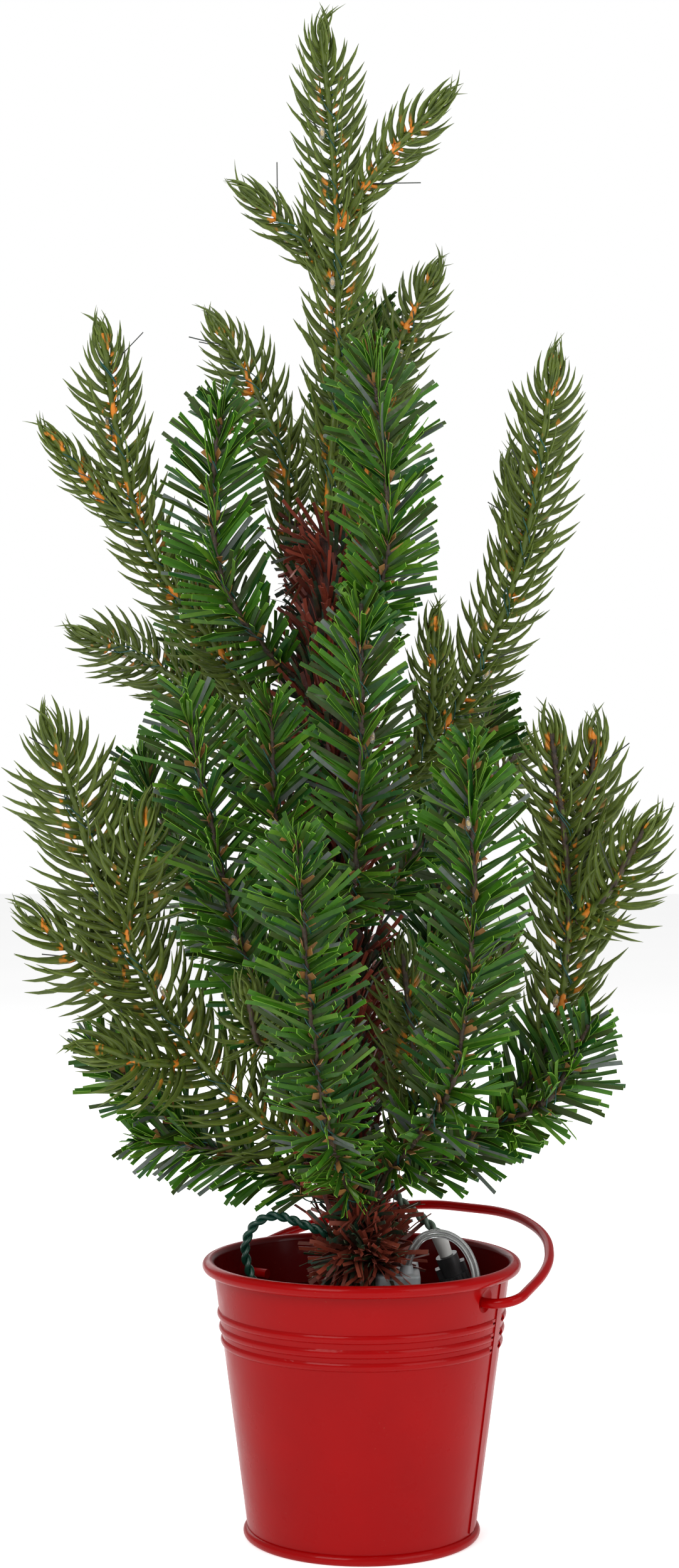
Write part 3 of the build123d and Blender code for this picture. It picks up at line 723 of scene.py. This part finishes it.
def stem_lines(branch):
    """The branch's own line and its shoots' lines, the shoots in order from the trunk outwards."""
    solids = solids_of(f"{branch}_stem")

    def from_root(p):
        return math.hypot(p.x - TRUNK_X, p.y) + 0.2 * p.z

    solids.sort(key=lambda solid: min(map(from_root, solid)))
    foot = min(solids[0], key=from_root)
    main = StemLine(middle_of(solids[0], foot))
    shoots = []
    for solid in solids[1:]:
        gaps = [(min((p - q).length for p in solid[::3]), i) for i, q in enumerate(main.points[::3])]
        _, i = min(gaps)
        foot_at = i * 3
        line = middle_of(solid, main.points[foot_at])
        shoots.append((foot_at, StemLine([main.points[foot_at], *line])))
    shoots.sort(key=lambda s: s[0])
    return main, [line for _, line in shoots]


def frame_matrix(origin, x, y, z, size=(1, 1, 1)):
    turn = Matrix((x * size[0], y * size[1], z * size[2])).transposed().to_4x4()
    turn.translation = origin
    return turn


# ------------------------------------------------------------------ foliage
def placed(kind, point, ahead, out, tilt, roll, lift, size, tone):
    """A shape that leaves a stem at an angle, lifted off its middle and rolled about itself."""
    z = ahead * math.cos(tilt) + out * math.sin(tilt)
    y = ahead * math.sin(tilt) - out * math.cos(tilt)
    turn = Matrix.Rotation(roll, 3, z)
    return kind, frame_matrix(point + out * lift, turn @ y.cross(z), turn @ y, z, size), tone


def strip_placings(line, rng, settings, start, end, tip_taper=True):
    """Bundles of flat strips leaving a twisted wire on both sides, turn by turn."""
    placings, s, turn = [], start, rng.uniform(0, math.pi)
    while s < end:
        from_tip = line.length - s if tip_taper else 1.0
        grown = min(1.0, 0.44 + from_tip / 0.045)
        near_root = max(0.0, 1 - (s - start) / 0.035)
        lean = settings.lean * (0.66 + 0.34 * min(1.0, from_tip / 0.03)) + math.radians(8) * near_root
        for half in (0, math.pi):
            spread = rng.uniform(-0.25, 0.25)
            bundle_lean = lean + rng.uniform(-0.10, 0.10)
            for k in range(rng.choice((3, 4, 4, 5))):
                where = s + (k - 1.5) * settings.pitch * 0.27
                angle = turn + half + spread + rng.gauss(0, 0.17)
                point, ahead, out = line.outwards(min(max(where, 0), line.length), angle)
                tilt, roll = bundle_lean + rng.gauss(0, 0.07), rng.gauss(0, 0.42)
                long = grown * rng.uniform(0.84, 1.08) * (1 - 0.4 * near_root)
                placings.append(placed(f"strip{rng.randrange(STRIP_KINDS)}", point, ahead, out, tilt, roll,
                                       0.0004, (1, 1, long), rng.random()))
        turn += math.radians(rng.uniform(58, 96))
        s += settings.pitch * rng.uniform(0.88, 1.12) * (0.8 if from_tip < 0.012 else 1.0)
    return placings


def chip_placings(line, rng, start, end):
    """Short brown chips in small clusters near the wire."""
    placings, s = [], start + rng.uniform(0.002, 0.006)
    while s < end:
        turn = rng.uniform(0, 2 * math.pi)
        for k in range(5):
            angle = turn + k * math.pi * 0.4 + rng.gauss(0, 0.2)
            point, ahead, out = line.outwards(s + rng.uniform(-0.0022, 0.0022), angle)
            tilt, roll = math.radians(rng.uniform(32, 68)), rng.gauss(0, 0.9)
            placings.append(placed(f"chip{rng.randrange(CHIP_KINDS)}", point, ahead, out, tilt, roll,
                                   0.0007, (1, 1, rng.uniform(0.75, 1.1)), rng.random()))
        s += rng.uniform(0.0105, 0.0140)
    return placings


def needle_placings(line, rng, settings, start, end, size=1.0, tip_taper=True):
    """Curved needles in rows along the spine's two sides, with a few on its faces."""
    placings, s, k = [], start, rng.randrange(len(NEEDLE_ROWS))
    while s < end:
        from_tip = line.length - s if tip_taper else 1.0
        grown = size * min(1.0, 0.5 + from_tip / 0.055) * min(1.0, 0.8 * size**3 + (s - start) / 0.08)
        angle = NEEDLE_ROWS[k % len(NEEDLE_ROWS)] + rng.gauss(0, 0.13)
        upright = abs(math.sin(angle))
        point, ahead, out = line.outwards(s, angle)
        lean = math.radians(74 - 14 * upright) * (0.42 + 0.58 * min(1.0, from_tip / 0.022))
        tilt, roll = lean + rng.gauss(0, 0.07), rng.gauss(0, 0.2)
        long = grown * rng.uniform(0.84, 1.06) * (1 - 0.12 * upright)
        placings.append(placed(f"needle{rng.randrange(NEEDLE_KINDS)}", point, ahead, out, tilt, roll,
                               0.0008, (1, 0.8 + 0.2 * size, long), rng.random()))
        if rng.random() < BRISTLE_CHANCE:
            tilt = math.radians(rng.uniform(38, 60))
            stretch = (1, 1, rng.uniform(0.7, 1.1))
            placings.append(placed("hair", point, ahead, out, tilt, 0, 0, stretch, 1.0))
        s += settings.pitch * rng.uniform(0.8, 1.2)
        k += 1
    return placings


def add_shapes(piece, meshes):
    """Adds ready meshes to a grown piece, with plain readings for the finishes."""
    bm = bmesh.new()
    bm.from_mesh(piece.data)
    pour(bm, meshes)
    bm.to_mesh(piece.data)
    bm.free()


def spine_mesh(line, start):
    points = [line.at(s)[0] for s in np.arange(start, line.length, 0.002)]
    count = len(points)
    radii = [1.0 - 0.4 * i / (count - 1) + 0.10 * math.sin(i * 1.7) for i in range(count)]
    return tube_along(points, SPINE_RADIUS, 1, radii)


def bud_mesh(line):
    bm = bmesh.new()
    bmesh.ops.create_uvsphere(bm, u_segments=7, v_segments=6, radius=1)
    bmesh.ops.scale(bm, vec=BUD_SIZE, verts=bm.verts)
    point, ahead, side, face = line.at(line.length)
    bmesh.ops.transform(bm, matrix=frame_matrix(point + ahead * 0.001, side, face, ahead), verts=bm.verts)
    return kept_mesh(bm, "bud")


def twisted_wire_meshes(line):
    meshes = []
    for phase in (0, math.pi):
        points = []
        for s in np.arange(0, line.length + 0.0005, 0.0008):
            point, _, out = line.outwards(s, phase + 2 * math.pi * s / CORE_WIRE_LAY)
            points.append(point + out * CORE_WIRE_OFFSET)
        meshes.append(tube_along(points, CORE_WIRE_RADIUS, 0))
    return meshes


def body_of_branch(branch):
    return "leader" if branch == "leader" else f"{branch}_branch"


class TREE_OT_foliage(Operator):
    """Grow the moulded sprigs and the cut-strip twigs on every branch"""

    bl_idname = "tabletop_tree.foliage"
    bl_label = "Grow the Foliage"

    def execute(self, context):
        film, moulded = context.scene.tree_strips, context.scene.tree_needles
        rng = random.Random(7)
        shapes = {
            f"strip{i}": strip_shape(f"strip{i}", film.length, film.width * rng.uniform(0.85, 1.12),
                                     film.thickness, rng.uniform(-0.35, 0.35), rng.uniform(-0.0012, 0.0012))
            for i in range(6)
        }
        shapes.update({
            f"chip{i}": strip_shape(
                f"chip{i}", CHIP_LENGTH, CHIP_WIDTH, film.thickness, rng.uniform(-0.5, 0.5), 0, 1
            )
            for i in range(3)
        })
        shapes.update({
            f"needle{i}": needle_shape(f"needle{i}", moulded.length, moulded.width * rng.uniform(0.88, 1.1),
                                       moulded.thickness, math.radians(rng.uniform(36, 62)))
            for i in range(5)
        })
        shapes["hair"] = strip_shape("hair", BRISTLE_LENGTH, BRISTLE_WIDTH, BRISTLE_THICK, 0.05, 0, 1)
        dark, fresh = tuple(film.dark), tuple(film.fresh)
        film_top = film_finish("cut_film", [
            (0.0, fresh), (0.20, dimmed(fresh, 1.25)), (0.36, dimmed(fresh, 0.62)),
            (0.52, dark), (0.72, (0.010, 0.072, 0.009)), (0.84, (0.090, 0.210, 0.012)),
            # The grey tone at the top is the painted sheen of strips that catch the light.
            (0.95, tuple(film.sheen)),
        ])
        film_edge = film_finish("cut_film_edge", [(0.0, tuple(film.cut_edge)),
                                                  (0.6, dimmed(film.cut_edge, 0.6))])
        chip_top = film_finish("brown_chip", [(0.0, tuple(film.chip)), (0.4, dimmed(film.chip, 0.65)),
                                              (0.8, (0.40, 0.20, 0.070))], roughness=0.5)
        chip_edge = film_finish("brown_chip_edge", [(0.0, (0.45, 0.25, 0.10)), (0.6, (0.30, 0.14, 0.05))])
        needle_skin = needle_finish("moulded_needle", moulded)
        hair_finish = plastic_finish("dark_bristle", (0.012, 0.020, 0.012), (0.006, 0.010, 0.006))
        wire = wire_finish("twisted_core_wire")

        for branch, (own, shoot_kinds, size) in FOLIAGE.items():
            rng = random.Random(f"foliage {branch}")
            main, shoots = stem_lines(branch)
            if len(shoots) != len(shoot_kinds):
                raise RuntimeError(f"{branch} has {len(shoots)} shoots, not {len(shoot_kinds)}")
            strips, chips, needles, cores, spines = [], [], [], [], []
            runs = []
            if own == "mixed":
                cut = main.length * MIXED_CUT
                runs += [("twig", main, ROOT_BARE, cut, False), ("sprig", main, cut, main.length, True)]
            else:
                runs.append((own, main, ROOT_BARE, main.length, True))
            runs += [(kind, line, SHOOT_BARE, line.length, True) for kind, line in zip(shoot_kinds, shoots)]
            for kind, line, start, end, tapers in runs:
                if kind == "twig":
                    strips += strip_placings(line, rng, film, start, end, tapers)
                    chips += chip_placings(line, rng, start, end)
                    cores += twisted_wire_meshes(line)
                else:
                    needles += needle_placings(line, rng, moulded, start, end, size, tapers)
                    spines += [(spine_mesh(line, start), 0), (bud_mesh(line), 0)]
            pieces = []
            if strips:
                piece = grow(f"{branch}_strips", shapes, strips, [film_top, film_edge])
                pieces.append(piece)
                piece = grow(f"{branch}_chips", shapes, chips, [chip_top, chip_edge])
                pieces.append(piece)
                piece = joined(f"{branch}_core", [(m, 0) for m in cores], [wire])
                pieces.append(piece)
            if needles:
                hairs = [p for p in needles if p[0] == "hair"]
                needles = [p for p in needles if p[0] != "hair"]
                piece = grow(f"{branch}_sprigs", shapes, needles, [needle_skin])
                add_shapes(piece, spines)
                pieces.append(smooth(piece))
                if hairs:
                    piece = grow(f"{branch}_bristles", shapes, hairs, [hair_finish, hair_finish])
                    pieces.append(piece)
            for piece in pieces:
                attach(piece, body_of_branch(branch))
            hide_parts(f"{branch}_needles")
            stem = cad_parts[f"{branch}_stem"]
            stem.data.materials.clear()
            stem.data.materials.append(needle_skin if own == "sprig" else wire)
        return {"FINISHED"}


class TREE_OT_trunk(Operator):
    """Wrap the trunk in red-brown and dark green tinsel that splays over the pail"""

    bl_idname = "tabletop_tree.trunk"
    bl_label = "Wrap the Trunk"

    def execute(self, context):
        settings = context.scene.tree_trunk
        rng = random.Random(21)
        solid = max(solids_of("trunk_wrap"), key=len)
        low = min(solid, key=lambda p: p.z)
        line = StemLine(middle_of(solid, low))
        shapes = {
            f"tinsel{i}": strip_shape(f"tinsel{i}", settings.length, settings.width * rng.uniform(0.8, 1.3),
                                      0.00018, rng.uniform(-0.5, 0.5), rng.uniform(-0.002, 0.002))
            for i in range(6)
        }
        placings = []
        count = int(line.length * settings.per_metre)
        for k in range(count):
            s = line.length * (k + rng.random()) / count
            flare = max(0.0, 1 - s / FOOT_FLARE)
            for _ in range(1 + round(3.2 * flare + rng.uniform(-0.5, 0.5))):
                angle = rng.uniform(0, 2 * math.pi)
                point, ahead, out = line.outwards(s, angle)
                tilt = math.radians(rng.uniform(16, 62)) + flare * math.radians(rng.uniform(15, 95))
                roll = rng.uniform(-1.5, 1.5)
                lift = (0.0055 + 0.004 * rng.random()) * (1 - 0.5 * flare)
                long = rng.uniform(0.7, 1.1) * (1 + 0.2 * flare)
                placings.append(placed(f"tinsel{rng.randrange(STRIP_KINDS)}", point, ahead, out, tilt, roll,
                                       lift, (1, 1, long), rng.random()))
        brick, green = tuple(settings.brick), tuple(settings.green)
        top = film_finish("trunk_tinsel", [
            (0.0, brick), (0.28, dimmed(brick, 0.55)), (0.46, (0.105, 0.022, 0.014)),
            (0.60, green), (0.78, (0.020, 0.075, 0.030)), (0.86, (0.26, 0.055, 0.030)),
        ], roughness=0.36)
        edge = film_finish("trunk_tinsel_edge", [(0.0, (0.26, 0.06, 0.04)), (0.6, (0.03, 0.09, 0.04))])
        tinsel = grow("trunk_tinsel", shapes, placings, [top, edge])
        # The matting: a dark tube under the strips, partly the packed tinsel and partly painted shade.
        core = line.points[::2]
        radii = [min(1.0, 0.3 + 0.02 * i) for i in range(len(core))]
        mat = joined("trunk_matting", [(tube_along(core, MATTING_RADIUS, 3, radii), 0)],
                     [shaded_matting_finish("tinsel_matting_and_shade", settings)])
        for piece in (tinsel, mat):
            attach(piece, "pail_and_trunk")
        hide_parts("trunk_wrap")
        return {"FINISHED"}


class TREE_OT_leads(Operator):
    """Lay the clear two-core lead and the two twisted pairs in the pail"""

    bl_idname = "tabletop_tree.leads"
    bl_label = "Lay the Leads"

    def execute(self, context):
        settings = context.scene.tree_leads
        green, pale = settings.insulation, settings.pale
        coats = {
            "left_pair": plastic_finish("green_insulation", green, dimmed(green, 0.5), 0.35),
            "right_pair": plastic_finish("pale_insulation", pale, dimmed(pale, 0.6), 0.3),
        }
        clear = clear_finish("clear_insulation")
        tinned = metal_finish("tinned_core", (0.42, 0.41, 0.40), 0.34)
        for name, route in (("right_pair", RIGHT_PAIR_ROUTE), ("left_pair", LEFT_PAIR_ROUTE)):
            line = LeadLine(route)
            strand = settings.pair_width / 4
            meshes = []
            for phase in (0, math.pi):
                points = [p + out * strand for p, out in line.turning(phase, settings.pair_lay)]
                meshes.append((tube_along(points, strand, 3), 0))
            piece = joined(f"{name}_strands", meshes, [coats[name]])
            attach(piece, "pail_and_trunk")
            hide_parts(name)
        line = LeadLine(CLEAR_LEAD_ROUTE)
        half = settings.clear_width / 4
        sides = [[p + out * (half * sign) for p, out in line.turning(0, 0)] for sign in (-1, 1)]
        sheaths = [(tube_along(points, half * 1.04, 3), 0) for points in sides]
        strands = [(tube_along(points, half * 0.55, 1), 0) for points in sides]
        piece = joined("clear_lead_sheath", sheaths, [clear])
        cores = joined("clear_lead_cores", strands, [tinned])
        for each in (piece, cores):
            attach(each, "pail_and_trunk")
        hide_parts("clear_lead")
        return {"FINISHED"}


class TREE_OT_light_string(Operator):
    """Run the thin light wire out and back along each branch, with its beads"""

    bl_idname = "tabletop_tree.light_string"
    bl_label = "Run the Light String"

    def execute(self, context):
        settings = context.scene.tree_lights
        tint = tuple(settings.tint)
        lacquer = plastic_finish("lacquered_wire", tint, dimmed(tint, 0.4), 0.3)
        resin = clear_finish("clear_resin", (0.95, 0.95, 0.9), 0.08)
        chip = plastic_finish("light_chip", (0.75, 0.50, 0.05), (0.55, 0.30, 0.03), 0.5)
        for branch in FOLIAGE:
            rng = random.Random(f"lights {branch}")
            main, shoots = stem_lines(branch)
            wires, beads, chips = [], [], []
            for line in (main, *shoots[:1]):
                if line.length < 0.05:
                    continue
                reach = line.length - rng.uniform(0.006, 0.02)
                for strand in range(2):
                    turns = rng.uniform(0.020, 0.034)
                    start = rng.uniform(0, 2 * math.pi)
                    control = []
                    for s in np.arange(0.002, reach, 0.005):
                        point, _, out = line.outwards(s, start + 2 * math.pi * s / turns)
                        control.append(point + out * rng.uniform(0.0019, 0.0042))
                    wires.append(tube_along(spaced(route_line(control), 0.0016), settings.wire / 2, 0))
                s = rng.uniform(0.02, 0.05)
                while s < reach:
                    point, ahead, out = line.outwards(s, rng.uniform(0, 2 * math.pi))
                    place = point + out * BEAD_STAND_OFF
                    beads.append(bead_mesh(place, ahead, out, BEAD_SIZE))
                    chips.append(bead_mesh(place, ahead, out, BEAD_CHIP_SIZE))
                    s += settings.spacing * rng.uniform(0.85, 1.15)
            piece = joined(f"{branch}_light_wire", [(m, 0) for m in wires], [lacquer])
            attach(piece, body_of_branch(branch))
            if beads:
                piece = joined(f"{branch}_light_beads", [(m, 0) for m in beads] + [(m, 1) for m in chips],
                               [resin, chip])
                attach(piece, body_of_branch(branch))
        return {"FINISHED"}


def bead_mesh(place, ahead, out, size):
    bm = bmesh.new()
    bmesh.ops.create_uvsphere(bm, u_segments=8, v_segments=6, radius=1)
    bmesh.ops.scale(bm, vec=size, verts=bm.verts)
    bmesh.ops.transform(bm, matrix=frame_matrix(place, out, ahead.cross(out), ahead), verts=bm.verts)
    return kept_mesh(bm, "bead")


class TREE_OT_pail(Operator):
    """Enamel the pail and its handle, and finish what stands inside it"""

    bl_idname = "tabletop_tree.pail"
    bl_label = "Finish the Pail"

    def execute(self, context):
        settings = context.scene.tree_pail
        enamel = enamel_finish("red_enamel", settings)
        rubber = plastic_finish("black_rubber", (0.012, 0.012, 0.013), (0.022, 0.022, 0.023), 0.42,
                                900, 0.25)
        box = plastic_finish("grey_box_plastic", (0.34, 0.36, 0.37), (0.27, 0.29, 0.30), 0.38, 1800, 0.2)
        finishes = {
            "pail_wall": enamel,
            "pail_floor": enamel,
            "bail_handle": enamel_finish("handle_enamel", settings, 0.8),
            "weight_block": cast_finish("cast_weight"),
            "trunk_pole": plastic_finish("pole_paint", (0.045, 0.022, 0.012), (0.030, 0.014, 0.008),
                                         0.6, 500, 0.4),
            "battery_case": box,
            "battery_cover": plastic_finish("cover_plastic", (0.32, 0.34, 0.35), (0.25, 0.27, 0.28),
                                            0.4, 1800, 0.2),
            "cover_screw": metal_finish("plated_screw", (0.62, 0.60, 0.56), 0.3),
            "battery_cells": metal_finish("cell_jacket", (0.30, 0.26, 0.12), 0.35, (1, 1, 0.1)),
            "switch_slider": plastic_finish("switch_plastic", (0.02, 0.02, 0.02), (0.035, 0.035, 0.035),
                                            0.45),
            "lead_sleeve": plastic_finish("white_sleeve", (0.62, 0.62, 0.60), (0.50, 0.50, 0.48), 0.42),
            "connector_socket": rubber,
            "coupling_nut": rubber,
            "connector_plug": rubber,
        }
        for node, finish in finishes.items():
            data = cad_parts[node].data
            data.materials.clear()
            data.materials.append(finish)
        return {"FINISHED"}


class TREE_OT_stage(Operator):
    """Set the floor, the soft lights and the camera"""

    bl_idname = "tabletop_tree.stage"
    bl_label = "Set the Stage"

    def execute(self, context):
        settings = context.scene.tree_stage
        bm = bmesh.new()
        bmesh.ops.create_grid(bm, x_segments=8, y_segments=8, size=6)
        mesh = kept_mesh(bm, "floor")
        floor = new_piece("floor", mesh)
        material, tree, shader = finish_of("pale_floor", settings.floor, 0.75)
        shader.inputs["Emission Color"].default_value = (1, 1, 1, 1)
        shader.inputs["Emission Strength"].default_value = 0.5
        drift = spread_of(tree, clouds(tree, place_of(tree), 3, 2), 0.3, 0.7)
        coloured(tree, shader, blended(tree, drift, settings.floor, dimmed(settings.floor, 0.97)))
        mesh.materials.append(material)

        world = bpy.data.worlds.new("studio")
        world.use_nodes = True
        studio = world.node_tree
        light = studio.nodes["Background"]
        light.inputs["Color"].default_value = (1, 1, 1, 1)
        light.inputs["Strength"].default_value = 0.46
        wall = studio.nodes.new("ShaderNodeBackground")
        wall.inputs["Color"].default_value = (1, 1, 1, 1)
        wall.inputs["Strength"].default_value = 1.0
        seen = studio.nodes.new("ShaderNodeLightPath")
        either = studio.nodes.new("ShaderNodeMixShader")
        studio.links.new(seen.outputs["Is Camera Ray"], either.inputs["Fac"])
        studio.links.new(light.outputs["Background"], either.inputs[1])
        studio.links.new(wall.outputs["Background"], either.inputs[2])
        studio.links.new(either.outputs["Shader"], studio.nodes["World Output"].inputs["Surface"])
        context.scene.world = world
        context.scene.view_settings.view_transform = "Standard"
        for name, power, place, target, size in (
            ("key_light", settings.key, (-0.9, -1.4, 1.5), (0, 0, 0.28), 1.1),
            ("fill_light", settings.fill, (1.3, -1.0, 0.8), (0, 0, 0.25), 1.2),
            ("top_light", settings.fill, (0.1, 0.2, 1.9), (0, 0, 0.3), 1.0),
            ("back_light", 0.7 * settings.fill, (-0.5, 1.6, 1.0), (0, 0, 0.3), 1.2),
        ):
            lamp = bpy.data.lights.new(name, "AREA")
            lamp.energy, lamp.size = power, size
            holder = bpy.data.objects.new(name, lamp)
            context.scene.collection.objects.link(holder)
            holder.location = place
            holder.rotation_euler = (Vector(target) - Vector(place)).to_track_quat("-Z", "Y").to_euler()
        lens = bpy.data.cameras.new("camera")
        lens.lens, lens.sensor_width = 60.48, 36
        lens.clip_start, lens.clip_end = 0.05, 50
        camera = bpy.data.objects.new("camera", lens)
        context.scene.collection.objects.link(camera)
        camera.location = (-0.0087, -1.033, 0.2935)
        camera.rotation_euler = (math.radians(90), 0, 0)
        context.scene.camera = camera
        return {"FINISHED"}


class TREE_PT_panel(Panel):
    """The tree's settings and steps"""

    bl_idname = "TREE_PT_panel"
    bl_label = "Tabletop Tree"
    bl_space_type = "VIEW_3D"
    bl_region_type = "UI"
    bl_category = "Tabletop Tree"

    def draw(self, context):
        for operator, groups in STEPS.items():
            box = self.layout.box()
            box.operator(operator.bl_idname)
            for group in groups:
                settings = getattr(context.scene, group)
                for name in settings.bl_rna.properties.keys():
                    if name not in ("rna_type", "name"):
                        box.prop(settings, name)


STEPS = {
    TREE_OT_stage: {"tree_stage": StageSettings},
    TREE_OT_leads: {"tree_leads": LeadSettings},
    TREE_OT_pail: {"tree_pail": PailSettings},
    TREE_OT_trunk: {"tree_trunk": TrunkSettings},
    TREE_OT_foliage: {"tree_needles": NeedleSettings, "tree_strips": StripSettings},
    TREE_OT_light_string: {"tree_lights": LightStringSettings},
}


def register():
    for operator, groups in STEPS.items():
        for name, group in groups.items():
            bpy.utils.register_class(group)
            setattr(bpy.types.Scene, name, PointerProperty(type=group))
        bpy.utils.register_class(operator)
    bpy.utils.register_class(TREE_PT_panel)


def unregister():
    bpy.utils.unregister_class(TREE_PT_panel)
    for operator, groups in reversed(list(STEPS.items())):
        bpy.utils.unregister_class(operator)
        for name, group in groups.items():
            delattr(bpy.types.Scene, name)
            bpy.utils.unregister_class(group)


def main():
    register()
    bpy.ops.tabletop_tree.stage()
    bpy.ops.tabletop_tree.leads()
    bpy.ops.tabletop_tree.pail()
    bpy.ops.tabletop_tree.trunk()
    bpy.ops.tabletop_tree.foliage()
    bpy.ops.tabletop_tree.light_string()
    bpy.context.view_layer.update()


if __name__ == "__main__":
    main()
